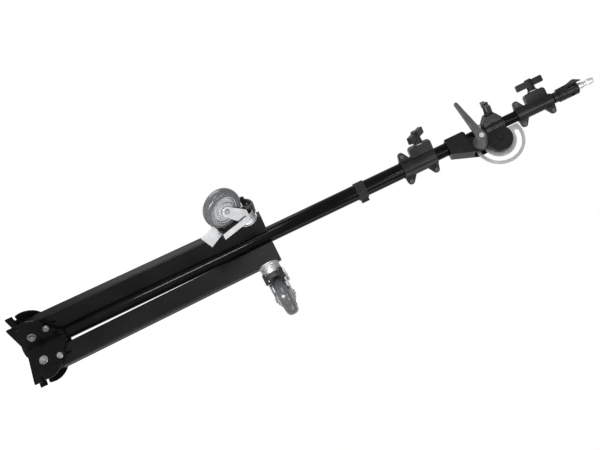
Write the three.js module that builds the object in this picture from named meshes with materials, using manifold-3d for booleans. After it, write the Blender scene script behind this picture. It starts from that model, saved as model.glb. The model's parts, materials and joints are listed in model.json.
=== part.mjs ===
// A folded wheeled boom stand: a three-leg roller base, a telescopic column and a tilting
// boom head with a slotted sector, a short telescopic boom and a stud at its tip.
// Millimetres, +Z up the column. The origin lies on the column axis, level with the foot of
// the hub fins. Leg 1 points to +X, and the boom tilts in the XZ plane, towards +X.

import * as THREE from 'three';
import { mergeVertices } from 'three/addons/utils/BufferGeometryUtils.js';
import Module from 'manifold-3d';

const wasm = await Module();
wasm.setup();

// Fits shared by all pieces
const runningGap = 0.3;             // between faces that touch or turn on each other
const cutOverrun = 2;               // how far a cutting solid passes the face that it cuts
const farReach = 240;               // of cutting solids that only have to pass a piece
const seamOverlap = 0.05;           // of two halves of one piece that meet on a plane
const mergeDistance = 0.0001;
const sidesRound = 20;
const sidesTurned = 16;
const sidesSmall = 8;
const sidesScrew = 8;

// Column and riser, the two tubes of the stand
const columnDiameter = 40;
const columnWall = 1.8;
const columnBottom = 2.5;
const columnTop = 1100;
const riserDiameter = 34;
const riserWall = 1.6;
const riserBottom = 130;
const riserTop = 1210;
const riserBushLength = 46;
const bushFlange = 2.5;
const footCapLength = 14;
const footCapWall = 3;

// Hub of three bent plates
const legCount = 3;
const plateThickness = 4;
const earGap = 5.3;                 // from a leg's side to the ear beside it
const pivotRadius = 50;
const pivotHeight = 41;
const lobeRadius = 48;
const finReach = 98;
const finFootWidth = 7;
const finHeight = 19;
const notchDepth = 15;
const notchWidth = 6;
const plateBendFoot = 10;
const plateTop = 112;
const plateTopReach = 26;

// Legs
const legDepth = 51;
const legWidth = 25;
const legWall = 2;
const legCorner = 3;
const legOffset = 6.5;              // of a folded leg's centre line, outward of its pivot
const legTop = 664;
const foldLean = 0.85;              // degrees that a folded leg leans in towards the column
const plugDepth = 16;
const plugFlange = 2.5;

// Leg pivot bolts and the lock plungers
const boltDiameter = 10;
const boltHeadDiameter = 17;
const boltHeadHeight = 7;
const boltStub = 3;                 // of thread that stands out of the head
const washerDiameter = 22;
const washerThickness = 2;
const boltShoulderDiameter = 16;    // between the ears, on which the leg turns
const plungerOut = 9;               // outward of the leg pivot
const plungerUp = 42;               // along the folded leg from its pivot
const plungerDiameter = 8;
const plungerHeadDiameter = 18;
const plungerCrownDiameter = 14;
const plungerHeadHeight = 5;
const plungerTravel = 5;
const plungerStandOff = 1.2;        // from the parked tip to the leg's side
const slotHoleLength = 16;
const slotHoleWidth = 7;
const slotHoleRadius = 3;
const slotHoleUp = 60;

// Casters
const wheelDiameter = 100;
const wheelWidth = 32;
const tyreInnerDiameter = 69;
const hubBossDiameter = 40;
const hubWebWidth = 22;
const hubRimDepth = 4;
const casterHeight = 127;
const casterTrail = 46;
const casterDrop = 32;              // of the swivel axis below the folded legs' tops
const casterUp = legTop - casterDrop;
const raceDiameter = 54;
const raceThickness = 3;
const raceStepWidth = 3;
const raceHeight = 9;
const kingpinDiameter = 12;
const kingpinHeadDiameter = 20;
const kingpinHeadHeight = 3.5;
const forkSheet = 3;
const forkInside = 41;
const forkCrownHeight = 15;
const forkCrownRadius = 25.5;
const forkSkirtTop = 26;
const forkNoseRadius = 14;
const forkCheekBack = 1;            // forward of the swivel axis, where a cheek begins
const forkCheekShoulder = 45;       // up to which a cheek's front edge is square
const axleDiameter = 8;
const axleHeadDiameter = 14;
const axleHeadHeight = 3;
const casterTurns = [94, 72, 21];   // degrees of swivel of legs 1 to 3, zero trails to the hub

// Brake of a caster: a pressed pedal with two straps, and the plastic shoe that it carries
const brakePivotX = 12;
const brakePivotZ = 19;
const strapFoot = 4.5;              // of a strap's lower edge below the pivot
const strapTop = 12.5;              // of its upper edge above the pivot
const strapSheet = 3;
const strapPinDiameter = 4;
const pedalWebX = 79;
const pedalWebTop = 31.5;
const pedalRootWidth = 40;
const pedalTipWidth = 50;
const pedalLength = 41;
const pedalDrop = 9;                // of the tread's tip towards the leg
const shoeFoot = 21;
const shoeSheet = 3;
const shoeHalfWidth = 19.5;
const shoeBlockFoot = 66;
const shoeBlockTop = 42;
const shoeBarRadius = 30.5;
const shoeBarSheet = 4;
const shoeBarEnd = 14;              // forward of the swivel axis, where the bar's ends stop
const shoeLobeWidth = 12;
const shoeLobeFoot = 22;
const shoeLobeTop = 50;
const shoeBarFoot = 30;
const shoeBarTop = 42;
const shoeStepX = 8;                // forward of the swivel axis, where the sheet steps up
const shoeTongueHalfWidth = 9;
const tyreRoom = 4.5;               // from the tyre to the released shoe

// Guide band on the column
const bandDrop = 192;               // of the band's foot below the column's mouth
const bandFoot = columnTop - bandDrop;
const bandHeight = 26;
const bandThickness = 3;
const bandRimHeight = 3;
const bandBlockReach = 31.5;
const bandBlockWidth = 14;
const bandBlockAzimuth = 20;

// Column clamp and boom clamp
const clampDrop = 63;               // of the clamp's foot below the column's mouth
const clampFoot = columnTop - clampDrop;
const clampLength = 92;
const clampWall = 3;
const clampAzimuth = 217;
const clampKnobUp = 64;
const boomClampLength = 101;
const boomClampWall = 2.6;
const boomClampAzimuth = 200;
const boomClampShoulder = 70;       // up to which its bore holds the boom tube
const columnClampScale = 1.05;
const boomClampScale = 0.95;
const lugThickness = 12;
const lugRise = 19;                 // of a lug's nose over the barrel
const lugLength = 30;
const lugNoseRadius = 8.5;
const lugNoseUp = 10.5;
const lugScrewDiameter = 8;
const lugScrewStandOut = 2;
const bossRise = 22;
const bossLength = 60;
const bossWidth = 22;
const bossCorner = 9;
const clampSlit = 1.5;
const barrelChamfer = 1.5;

// T-knobs
const knobBarLength = 72;
const knobBarHeight = 17;
const knobBarThickness = 12;
const knobBarCorner = 3;
const knobStemDiameter = 22;
const knobStemEndDiameter = 17;
const knobStemLength = 13;
const knobCapHeight = 3;
const knobRingDiameter = 25;
const knobRingThickness = 3;
const columnKnobTurn = -40;
const boomKnobTurn = 90;
const collarKnobTurn = -6;

// Head: yoke, sector, boom collar and lever
const yokeSocket = 47;              // of the riser inside the yoke
const yokeFoot = riserTop - yokeSocket;
const yokeRoof = 8;                 // of the yoke over the riser's mouth
const yokeFloor = riserTop + yokeRoof;
const yokeHalfWidth = 19.5;
const yokeCheek = 4;
const yokeBack = 19;
const yokeBackCorner = 5;
const yokeFootReach = 24;
const yokeReach = 50;
const yokeSlopeRise = 12;           // of the cheeks' slopes over the yoke's floor
const yokeSlopeTop = yokeFloor + yokeSlopeRise;
const cheekBack = 5;                // of the cheeks' straight edge, on the tilt side of the axis
const yokeNoseRadius = 10.5;
const tiltX = 37.5;
const tiltRise = 71;                // of the tilt bolt over the yoke's floor
const tiltZ = yokeFloor + tiltRise;
const tiltBoltDiameter = 8;
const tiltBoltHeadDiameter = 12;
const tiltBoltHeadHeight = 4;
const sectorThickness = 4;
const sectorRadius = 65;
const sectorSlotRadius = 50.5;
const sectorSlotWidth = 12.7;
const sectorTopGap = 3.4;           // from the boom tube's side to the sector's straight edge
const slotSpare = 1.5;              // degrees that the slot runs past the stud
const leverStudDiameter = 12;
const leverStudDrop = 7.5;          // that the stud lies nearer to the boom than the tilt bolt
const leverStudCapDiameter = 13;
const leverStudCapHeight = 3;
const leverNutDiameter = 20;
const leverNutHeight = 8;
const leverHubDiameter = 38;
const leverHubEndDiameter = 25;
const leverHubHeight = 46;
const leverLength = 110;
const leverTipDiameter = 10;
const leverRootWidth = 22;
const leverThickness = 9;
const leverLean = 8.5;              // degrees from straight across the boom
const discRadius = 34.4;
const collarDrop = 21;              // of the collar's foot below the tilt bolt
const collarLength = 51;
const collarFoot = tiltZ - collarDrop;
const collarTop = collarFoot + collarLength;
const collarWall = 5.5;
const collarGrooveDepth = 1.2;
const collarGrooveWidth = 2.4;
const collarGrooveUps = [17, 37];
const collarBossReach = 36;
const collarBossWidth = 26;
const collarBossTopLength = 26;
const collarKnobScale = 0.95;

// Boom, extension, socket and stud
const boomDiameter = 28;
const boomWall = 1.5;
const boomFloorGap = 5;             // from the yoke's floor to the folded boom
const boomBottom = yokeFloor + boomFloorGap;
const extensionDiameter = 24;
const extensionWall = 1.5;
const extensionSink = 27;           // of the pushed-in extension's foot over the boom's
const extensionBottom = boomBottom + extensionSink;
const boomClampStandOff = 40;       // from the collar to the boom clamp
const boomClampFoot = collarTop + boomClampStandOff;
const socketNeckDiameter = 27;
const extensionLength = 226;
const socketFoot = extensionBottom + extensionLength;
const socketNeckLength = 13;
const socketNeckFoot = socketFoot - socketNeckLength;
const socketLength = 55;
const socketTop = socketFoot + socketLength;
const socketDiameter = 33;
const socketGrooveDepth = 1.2;
const socketGrooveUps = [7, 21];
const socketSeatDepth = 3;
const socketChamfer = 1.5;
const windowDrop = 6;               // of the window below the socket's top
const windowLength = 22;
const windowHigh = socketTop - windowDrop;
const windowLow = windowHigh - windowLength;
const windowWidth = 8;
const windowAzimuth = 259;
const sideHoleDiameter = 10;
const sideHoleDrop = 19;            // of the side hole below the socket's top
const sideHoleUp = socketTop - sideHoleDrop;
const sideHoleAzimuth = 347;
const studDiameter = 16;
const studStandOut = 46;            // of the stud over the socket
const studTop = socketTop + studStandOut;
const studTipDiameter = 13;
const studTipLength = 6;
const studTipChamfer = 1.5;
const studNeckDiameter = 12.5;
const studNeckLength = 7;
const studNeckDrop = 21;            // of the neck's upper end below the stud's top
const studNeckTop = studTop - studNeckDrop;
const studNeckFoot = studNeckTop - studNeckLength;
const studNeckSlope = 3;
const studInsert = 30;
const latchRise = 2;                // of the latch's foot over the socket's
const latchFoot = socketFoot + latchRise;
const latchPeakDrop = 4;            // of the latch's peak below the socket's top
const latchStepDrop = 21;
const latchStandOut = 14;           // of the latch's tip over the socket
const latchStepReach = 19;
const latchReach = 23.5;
const latchTipReach = 14.5;
const latchTipThickness = 2.5;
const latchSunk = 4.5;              // that the latch's back lies inside the socket's surface
const latchWidth = 13;
const latchAzimuth = 200;
const latchPinDiameter = 3;
const latchFootRadius = 2.6;        // about its pin
const latchEarSheet = 2.5;
const latchEarHeight = 7;
const latchEarReach = 17.8;

// Materials
const paint = (color, roughness, metalness) =>
  new THREE.MeshStandardMaterial({ color, roughness, metalness });
const glossBlack = paint(0x0b0b0c, 0.28, 0.3);
const castBlack = paint(0x1d1d1f, 0.5, 0.2);
const plasticGrey = paint(0x4a4a4c, 0.5, 0.0);
const plasticBlack = paint(0x141414, 0.55, 0.0);
const rubberGrey = paint(0x66676a, 0.6, 0.0);
const hubGrey = paint(0xa9aaac, 0.45, 0.1);
const zinc = paint(0xd2d3d5, 0.3, 0.85);

const radians = THREE.MathUtils.degToRad;
const halfTurn = 180;
const fullTurn = 360;

// Manifold solid of a closed three.js geometry, with its faces turned outwards.
function solid(geometry) {
  geometry.deleteAttribute('normal');
  geometry.deleteAttribute('uv');
  const merged = mergeVertices(geometry, mergeDistance);
  const points = merged.attributes.position.array;
  const faces = merged.index.array;
  const [a, b, c] = [new THREE.Vector3(), new THREE.Vector3(), new THREE.Vector3()];
  const kept = [];
  let volume = 0;
  for (let i = 0; i < faces.length; i += 3) {
    const [p, q, r] = faces.subarray(i, i + 3);
    if (p !== q && q !== r && r !== p) {
      a.fromArray(points, 3 * p);
      b.fromArray(points, 3 * q);
      c.fromArray(points, 3 * r);
      volume += a.dot(b.cross(c));
      kept.push(p, q, r);
    }
  }
  if (volume < 0) kept.reverse();
  return new wasm.Manifold(new wasm.Mesh({
    numProp: 3, vertProperties: Float32Array.from(points), triVerts: Uint32Array.from(kept),
  }));
}

// Geometry of a manifold solid.
function geometryOf(body) {
  const mesh = body.getMesh();
  const geometry = new THREE.BufferGeometry();
  geometry.setAttribute('position', new THREE.BufferAttribute(mesh.vertProperties, 3));
  geometry.setIndex(new THREE.BufferAttribute(mesh.triVerts, 1));
  return geometry;
}

const join = (...bodies) => bodies.reduce((whole, body) => whole.add(body));
const cut = (body, ...tools) => tools.reduce((whole, tool) => whole.subtract(tool), body);

// Solid turned and moved by a three.js matrix.
const moved = (body, matrix) => body.transform(matrix.elements);
const turnedX = (body, degrees) => moved(body, new THREE.Matrix4().makeRotationX(radians(degrees)));
const turnedZ = (body, degrees) => moved(body, new THREE.Matrix4().makeRotationZ(radians(degrees)));
const shifted = (body, x, y, z) => moved(body, new THREE.Matrix4().makeTranslation(x, y, z));

// Round bar along Z, Y or X between two stations, centred on the other two coordinates.
function rodZ(diameter, z0, z1, sides = sidesRound, endDiameter = diameter) {
  const bar = new THREE.CylinderGeometry(endDiameter / 2, diameter / 2, z1 - z0, sides);
  return solid(bar.rotateX(Math.PI / 2).translate(0, 0, (z0 + z1) / 2));
}
function rodY(diameter, y0, y1, x = 0, z = 0, sides = sidesRound, endDiameter = diameter) {
  const bar = new THREE.CylinderGeometry(endDiameter / 2, diameter / 2, y1 - y0, sides);
  return solid(bar.translate(x, (y0 + y1) / 2, z));
}
function rodX(diameter, x0, x1, z = 0, sides = sidesRound, endDiameter = diameter) {
  const bar = new THREE.CylinderGeometry(endDiameter / 2, diameter / 2, x1 - x0, sides);
  return solid(bar.rotateZ(-Math.PI / 2).translate((x0 + x1) / 2, 0, z));
}
function box(x0, x1, y0, y1, z0, z1) {
  const block = new THREE.BoxGeometry(x1 - x0, y1 - y0, z1 - z0);
  return solid(block.translate((x0 + x1) / 2, (y0 + y1) / 2, (z0 + z1) / 2));
}
function tubeZ(outer, inner, z0, z1) {
  return cut(rodZ(outer, z0, z1), rodZ(inner, z0 - cutOverrun, z1 + cutOverrun));
}

// Plate whose outline is drawn in X and Z and whose thickness runs along Y.
function plateXZ(shape, y0, y1, curveSegments = 8) {
  const sheet = new THREE.ExtrudeGeometry(shape, {
    depth: y1 - y0, bevelEnabled: false, curveSegments,
  });
  return solid(sheet.rotateX(Math.PI / 2).translate(0, y1, 0));
}

// Plate whose outline is drawn in X and Y and whose thickness runs along Z.
function plateXY(shape, z0, z1, curveSegments = 4) {
  const sheet = new THREE.ExtrudeGeometry(shape, {
    depth: z1 - z0, bevelEnabled: false, curveSegments,
  });
  return solid(sheet.translate(0, 0, z0));
}

// Solid of revolution about Z from a profile of [radius, height] pairs.
function turned(profile, sides = sidesRound) {
  const points = profile.map(([radius, height]) => new THREE.Vector2(radius, height));
  return solid(new THREE.LatheGeometry(points, sides).rotateX(Math.PI / 2));
}

// Straight-sided outline through a list of points.
function outlineOf(points) {
  const shape = new THREE.Shape();
  shape.moveTo(...points[0]);
  for (const point of points.slice(1)) shape.lineTo(...point);
  return shape;
}

// Rounded rectangle centred on a point.
function roundedRectangle(width, height, radius, x = 0, y = 0) {
  const shape = new THREE.Shape();
  const w = width / 2 - radius;
  const h = height / 2 - radius;
  const quarter = Math.PI / 2;
  shape.absarc(x + w, y - h, radius, -quarter, 0, false);
  shape.absarc(x + w, y + h, radius, 0, quarter, false);
  shape.absarc(x - w, y + h, radius, quarter, 2 * quarter, false);
  shape.absarc(x - w, y - h, radius, 2 * quarter, 3 * quarter, false);
  return shape;
}

// Group for a child frame, and a named piece in it.
function frame(parent, place) {
  const child = new THREE.Group();
  place(child);
  parent.add(child);
  return child;
}
function addPiece(parent, name, body, material) {
  const mesh = new THREE.Mesh(geometryOf(body), material);
  mesh.name = name;
  parent.add(mesh);
}

const group = new THREE.Group();

// Column, riser and the bushes between them
const columnInside = columnDiameter - 2 * columnWall;
const riserInside = riserDiameter - 2 * riserWall;
const footBushDiameter = columnInside - 4 * runningGap;
const footBushBore = riserInside - 4 * riserWall;
const footBushLip = riserBottom - bushFlange;
addPiece(group, 'column_tube', tubeZ(columnDiameter, columnInside, columnBottom, columnTop), glossBlack);
addPiece(group, 'riser_tube', tubeZ(riserDiameter, riserInside, riserBottom, riserTop), glossBlack);
addPiece(group, 'column_mouth_bush', tubeZ(columnInside - 2 * runningGap,
  riserDiameter + 2 * runningGap, columnTop - riserBushLength, columnTop), plasticBlack);
addPiece(group, 'column_foot_cap', cut(
  join(
    rodZ(columnDiameter, 0, columnBottom - runningGap),
    rodZ(columnInside - 2 * runningGap, 0, columnBottom + footCapLength),
  ),
  rodZ(columnInside - 2 * footCapWall, footCapWall, columnBottom + footCapLength + cutOverrun),
), plasticBlack);
addPiece(group, 'riser_foot_bush', cut(
  join(
    rodZ(footBushDiameter, footBushLip, riserBottom - runningGap),
    rodZ(riserInside - 2 * runningGap, footBushLip, riserBottom + riserBushLength / 2),
  ),
  rodZ(footBushBore, footBushLip - cutOverrun, riserBottom + riserBushLength),
), plasticBlack);

// Hub plates. Each plate has two wings, one beside each of two neighbouring legs, and is bent
// along the line where their planes meet.
const wingInside = legWidth / 2 + earGap;
const wingOutside = wingInside + plateThickness;

// Outline of one wing: reach from the column axis along X and height along Z.
function wingOutline() {
  const notchRadius = notchWidth / 2;
  const notchEnd = finReach - notchDepth + notchRadius;
  const lobeStart = Math.asin((finHeight + notchWidth - pivotHeight) / lobeRadius);
  const lobeEnd = radians(74);
  const shape = new THREE.Shape();
  shape.moveTo(0, plateBendFoot);
  shape.lineTo(finReach - finFootWidth, 0);
  shape.lineTo(finReach, 0);
  shape.lineTo(finReach, finHeight);
  shape.absarc(notchEnd, finHeight + notchRadius, notchRadius, -Math.PI / 2, -1.5 * Math.PI, true);
  shape.absarc(pivotRadius, pivotHeight, lobeRadius, lobeStart, lobeEnd, false);
  shape.quadraticCurveTo(plateTopReach + notchDepth, plateTop - notchDepth, plateTopReach, plateTop);
  shape.lineTo(0, plateTop);
  return shape;
}

function hubWing(side, hasPlunger) {
  const near = side > 0 ? wingInside : -wingOutside;
  const far = near + plateThickness;
  const sheet = plateXZ(wingOutline(), near, far);
  const half = side > 0
    ? box(0, farReach, -farReach, seamOverlap, -cutOverrun, plateTop + cutOverrun)
    : box(0, farReach, -seamOverlap, farReach, -cutOverrun, plateTop + cutOverrun);
  const kept = sheet.intersect(turnedZ(half, side * halfTurn / legCount));
  const boltHole = rodY(boltDiameter + 2 * runningGap, near - cutOverrun, far + cutOverrun,
    pivotRadius, pivotHeight, sidesSmall);
  const plungerHole = rodY(plungerDiameter + 2 * runningGap, near - cutOverrun, far + cutOverrun,
    pivotRadius + plungerOut, pivotHeight + plungerUp, sidesSmall);
  return hasPlunger ? cut(kept, boltHole, plungerHole) : cut(kept, boltHole);
}

// Side of each leg, counted round the column, on which its plunger sits.
const plungerSides = [-1, 1, 1];

// Pieces at a leg's pivot, drawn about the pivot with its axis along Y
const washerFoot = wingOutside + runningGap;
const headTop = washerFoot + washerThickness + boltHeadHeight;
const boltEnd = headTop + boltStub;

function pivotBolt() {
  const half = join(
    rodY(boltDiameter, 0, boltEnd, 0, 0, sidesSmall),
    rodY(boltShoulderDiameter, 0, wingInside - runningGap, 0, 0, sidesTurned),
    rodY(washerDiameter, washerFoot, washerFoot + washerThickness, 0, 0, sidesTurned),
    rodY(boltHeadDiameter, washerFoot, headTop, 0, 0, 6),
  );
  return join(half, turnedX(half, halfTurn));
}

function plunger(side) {
  const tip = legWidth / 2 + plungerStandOff;
  const headFoot = wingOutside + runningGap + plungerTravel;
  const headEnd = headFoot + plungerHeadHeight;
  const whole = join(
    rodY(plungerDiameter, tip, headEnd, 0, 0, sidesSmall),
    rodY(plungerHeadDiameter, headFoot, headEnd, 0, 0, sidesRound, plungerCrownDiameter),
  );
  return side > 0 ? whole : turnedX(whole, halfTurn);
}

// Leg along Z from its pivot at the origin, with a round tail.
const legLength = legTop - pivotHeight;
const legInside = legDepth - 2 * legWall;
const legBoreHalf = legWidth / 2 - legWall;
const faceOut = legOffset + legDepth / 2;
const swivelUp = casterUp - pivotHeight;

function legOutline(depth, top) {
  const shape = new THREE.Shape();
  shape.absarc(legOffset, 0, depth / 2, Math.PI, 2 * Math.PI, false);
  shape.lineTo(legOffset + depth / 2, top);
  shape.lineTo(legOffset - depth / 2, top);
  return shape;
}

function legTube(side) {
  const slot = roundedRectangle(slotHoleWidth, slotHoleLength, slotHoleRadius, legOffset, slotHoleUp);
  const lockHole = rodY(plungerDiameter + 8 * runningGap, legBoreHalf - cutOverrun, legWidth,
    plungerOut, side * plungerUp, sidesSmall);
  const section = roundedRectangle(legDepth, legWidth, legCorner, legOffset, 0);
  return cut(
    plateXZ(legOutline(legDepth, legLength), -legWidth / 2, legWidth / 2)
      .intersect(plateXY(section, -legDepth, legLength, 3)),
    plateXZ(legOutline(legInside, legLength + cutOverrun), -legBoreHalf, legBoreHalf),
    rodY(boltShoulderDiameter + 2 * runningGap, -legWidth, legWidth, 0, 0, sidesTurned),
    side > 0 ? lockHole : turnedX(lockHole, halfTurn),
    plateXZ(slot, -legWidth, legWidth, 3),
    rodX(kingpinDiameter + 2 * runningGap, faceOut - legWall - cutOverrun, faceOut + cutOverrun,
      swivelUp, sidesTurned),
  );
}

function legPlug() {
  const fit = legWall + runningGap;
  const wall = fit + legWall;
  const half = legDepth / 2;
  const halfWidth = legWidth / 2;
  const body = box(fit - half, half - fit, fit - halfWidth, halfWidth - fit,
    legLength - plugDepth, legLength + plugFlange);
  const cap = plateXY(roundedRectangle(legDepth, legWidth, plugFlange), legLength + runningGap,
    legLength + plugFlange, 2);
  const hollow = box(wall - half, half - wall, wall - halfWidth, halfWidth - wall,
    legLength - plugDepth - cutOverrun, legLength - plugFlange);
  return shifted(cut(join(body, cap), hollow), legOffset, 0, 0);
}

// Caster, drawn with the leg's outer face at z = 0, +Z away from the leg and +X along the trail
const axleDepth = casterHeight - wheelDiameter / 2;
const forkFoot = raceHeight + runningGap;
const cheekOutside = forkInside / 2 + forkSheet;

// Raceway plate and kingpin, riveted to the leg.
function casterMount() {
  const raceTop = raceThickness + runningGap;
  const headFoot = forkCrownHeight + runningGap;
  const headTopUp = headFoot + kingpinHeadHeight;
  const stepRadius = raceDiameter / 2 - raceStepWidth;
  return turned([
    [0, -legWall - plugFlange],
    [kingpinDiameter / 2, -legWall - plugFlange],
    [kingpinDiameter / 2, runningGap],
    [raceDiameter / 2, runningGap],
    [raceDiameter / 2, raceTop],
    [stepRadius, raceTop],
    [stepRadius - raceStepWidth, raceHeight],
    [kingpinDiameter / 2, raceHeight],
    [kingpinDiameter / 2, headFoot],
    [kingpinHeadDiameter / 2, headFoot],
    [kingpinHeadDiameter / 2 - raceThickness / 2, headTopUp],
    [0, headTopUp],
  ], sidesTurned);
}

function casterFork() {
  const shape = new THREE.Shape();
  shape.moveTo(-forkCheekBack, forkFoot);
  shape.lineTo(forkCrownRadius, forkFoot);
  shape.lineTo(forkCrownRadius, forkCrownHeight + forkFoot);
  shape.absarc(casterTrail, axleDepth, forkNoseRadius, radians(-30), radians(110), false);
  shape.lineTo(-forkCheekBack, forkCheekShoulder);
  const cheeks = cut(
    plateXZ(shape, -cheekOutside, cheekOutside, 6),
    box(-farReach, farReach, -forkInside / 2, forkInside / 2, forkCrownHeight, farReach),
  );
  const skirt = cut(
    rodZ(2 * cheekOutside, forkFoot, forkSkirtTop, sidesRound, 2 * cheekOutside - forkSheet),
    rodZ(forkInside, forkCrownHeight, forkSkirtTop + cutOverrun),
    box(0, farReach, -farReach, farReach, 0, farReach),
  );
  return cut(
    join(cheeks, rodZ(2 * forkCrownRadius, forkFoot, forkCrownHeight), skirt),
    rodZ(kingpinDiameter + 2 * runningGap, -cutOverrun, forkCrownHeight + cutOverrun, sidesTurned),
    rodY(axleDiameter + 2 * runningGap, -farReach, farReach, casterTrail, axleDepth, sidesSmall),
    rodY(strapPinDiameter + 2 * runningGap, -farReach, farReach, brakePivotX, brakePivotZ, sidesScrew),
  );
}

function casterTyre() {
  // Shares of the tyre's height over its seat and of half its width, from the seat to the crown
  const crownShares = [[0, 0.88], [0.3, 1], [0.62, 0.86], [0.86, 0.52], [1, 0]];
  const inner = tyreInnerDiameter / 2;
  const rise = wheelDiameter / 2 - inner;
  const near = crownShares.map(([up, out]) => [inner + rise * up, -wheelWidth / 2 * out]);
  const far = near.slice(0, -1).map(([radius, height]) => [radius, -height]).reverse();
  return turned([...near, ...far, near[0]]);
}

function casterHub() {
  const rimShare = 0.88;
  const outer = tyreInnerDiameter / 2 - runningGap;
  const rim = wheelWidth / 2 * rimShare;
  const boss = hubBossDiameter / 2;
  const bossEnd = forkInside / 2 - 2 * runningGap;
  const bore = axleDiameter / 2 + runningGap;
  const web = hubWebWidth / 2;
  const half = [[bore, bossEnd], [boss, bossEnd], [boss, web], [outer - hubRimDepth, web],
    [outer - hubRimDepth / 2, rim], [outer, rim]];
  const mirrored = half.map(([radius, height]) => [radius, -height]).reverse();
  return turned([...half, ...mirrored, half[0]]);
}

function casterAxle() {
  const headFoot = cheekOutside + runningGap;
  const end = headFoot + axleHeadHeight;
  return join(
    rodY(axleDiameter, -end, end, 0, 0, sidesSmall),
    rodY(axleHeadDiameter, headFoot, end, 0, 0, 6),
    rodY(axleHeadDiameter, -end, -headFoot, 0, 0, 6),
  );
}

// Pedal: a strap beside each cheek of the fork, a web behind the tyre and the tread.
const strapInside = cheekOutside + 4 * runningGap;
const strapOutside = strapInside + strapSheet;

function casterPedal() {
  const half = join(
    box(brakePivotX - strapFoot, pedalWebX + strapSheet, strapInside, strapOutside,
      brakePivotZ - strapFoot, brakePivotZ + strapTop),
    rodY(strapPinDiameter, forkInside / 2 + runningGap, strapOutside, brakePivotX, brakePivotZ, sidesScrew),
  );
  const web = box(pedalWebX, pedalWebX + strapSheet, -strapOutside, strapOutside,
    brakePivotZ - strapFoot, pedalWebTop);
  const tread = outlineOf([[0, -pedalRootWidth / 2], [pedalLength, -pedalTipWidth / 2],
    [pedalLength, pedalTipWidth / 2], [0, pedalRootWidth / 2]]);
  const lean = new THREE.Matrix4().makeRotationY(Math.asin(pedalDrop / pedalLength));
  lean.setPosition(pedalWebX, 0, pedalWebTop - strapSheet);
  return join(half, half.mirror([0, 1, 0]), web, moved(plateXY(tread, 0, strapSheet), lean));
}

// Shoe: a sheet between the crown and the tyre, with a block behind and a curved bar before
// the fork. The sheet steps up to the bar as a narrow tongue.
function casterShoe() {
  const sheetTop = shoeFoot + shoeSheet;
  const back = pedalWebX - runningGap;
  const wide = shoeBarRadius - shoeLobeWidth;
  const tongue = shoeTongueHalfWidth;
  const bar = cut(
    rodZ(2 * shoeBarRadius, shoeLobeFoot, shoeLobeTop),
    rodZ(2 * (shoeBarRadius - shoeBarSheet), 0, farReach),
    box(-shoeBarEnd, farReach, -farReach, farReach, 0, farReach),
    box(-farReach, 0, -wide, wide, 0, shoeBarFoot),
    box(-farReach, 0, -wide, wide, shoeBarTop, farReach),
  );
  const whole = join(
    box(runningGap, back, -shoeHalfWidth, shoeHalfWidth, shoeFoot, sheetTop),
    box(-shoeStepX - shoeSheet, shoeSheet, -tongue, tongue, shoeFoot, sheetTop),
    box(-shoeStepX - shoeSheet, -shoeStepX, -tongue, tongue, shoeFoot, shoeBarFoot + shoeSheet),
    box(shoeBarSheet - shoeBarRadius - runningGap, -shoeStepX, -tongue, tongue, shoeBarFoot,
      shoeBarFoot + shoeSheet),
    bar,
    box(shoeBlockFoot, back, -shoeHalfWidth, shoeHalfWidth, shoeFoot, shoeBlockTop),
  );
  return cut(whole, rodY(wheelDiameter + 2 * tyreRoom, -farReach, farReach, casterTrail, axleDepth));
}

for (let leg = 0; leg < legCount; leg += 1) {
  const number = leg + 1;
  const azimuth = fullTurn * leg / legCount;
  const side = plungerSides[leg];
  const nextSide = plungerSides[(leg + 1) % legCount];
  const station = frame(group, (at) => { at.rotation.z = radians(azimuth); });
  const nextWing = turnedZ(hubWing(-1, nextSide < 0), fullTurn / legCount);
  addPiece(station, `hub_plate_${number}`, join(hubWing(1, side > 0), nextWing), glossBlack);

  const pivot = frame(station, (at) => { at.position.set(pivotRadius, 0, pivotHeight); });
  addPiece(pivot, `leg_pivot_bolt_${number}`, pivotBolt(), zinc);
  const pinPlace = frame(pivot, (at) => { at.position.set(plungerOut, 0, plungerUp); });
  addPiece(pinPlace, `leg_lock_plunger_${number}`, plunger(side), zinc);

  const folded = frame(pivot, (at) => { at.rotation.y = -radians(foldLean); });
  addPiece(folded, `leg_tube_${number}`, legTube(side), glossBlack);
  addPiece(folded, `leg_end_plug_${number}`, legPlug(), plasticBlack);

  const turn = radians(casterTurns[leg]);
  const away = new THREE.Vector3(1, 0, 0);
  const trail = new THREE.Vector3(0, Math.sin(turn), -Math.cos(turn));
  const caster = frame(folded, (at) => {
    const basis = new THREE.Matrix4().makeBasis(trail, away.clone().cross(trail), away);
    at.quaternion.setFromRotationMatrix(basis);
    at.position.set(faceOut, 0, swivelUp);
  });
  addPiece(caster, `caster_race_${number}`, casterMount(), zinc);
  addPiece(caster, `caster_fork_${number}`, casterFork(), zinc);
  addPiece(caster, `caster_pedal_${number}`, casterPedal(), zinc);
  addPiece(caster, `caster_shoe_${number}`, casterShoe(), plasticBlack);
  const axle = frame(caster, (at) => { at.position.set(casterTrail, 0, axleDepth); });
  addPiece(axle, `caster_axle_${number}`, casterAxle(), zinc);
  const wheel = frame(axle, (at) => { at.rotation.x = Math.PI / 2; });
  addPiece(wheel, `caster_tyre_${number}`, casterTyre(), rubberGrey);
  addPiece(wheel, `caster_hub_${number}`, casterHub(), hubGrey);
}

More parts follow.
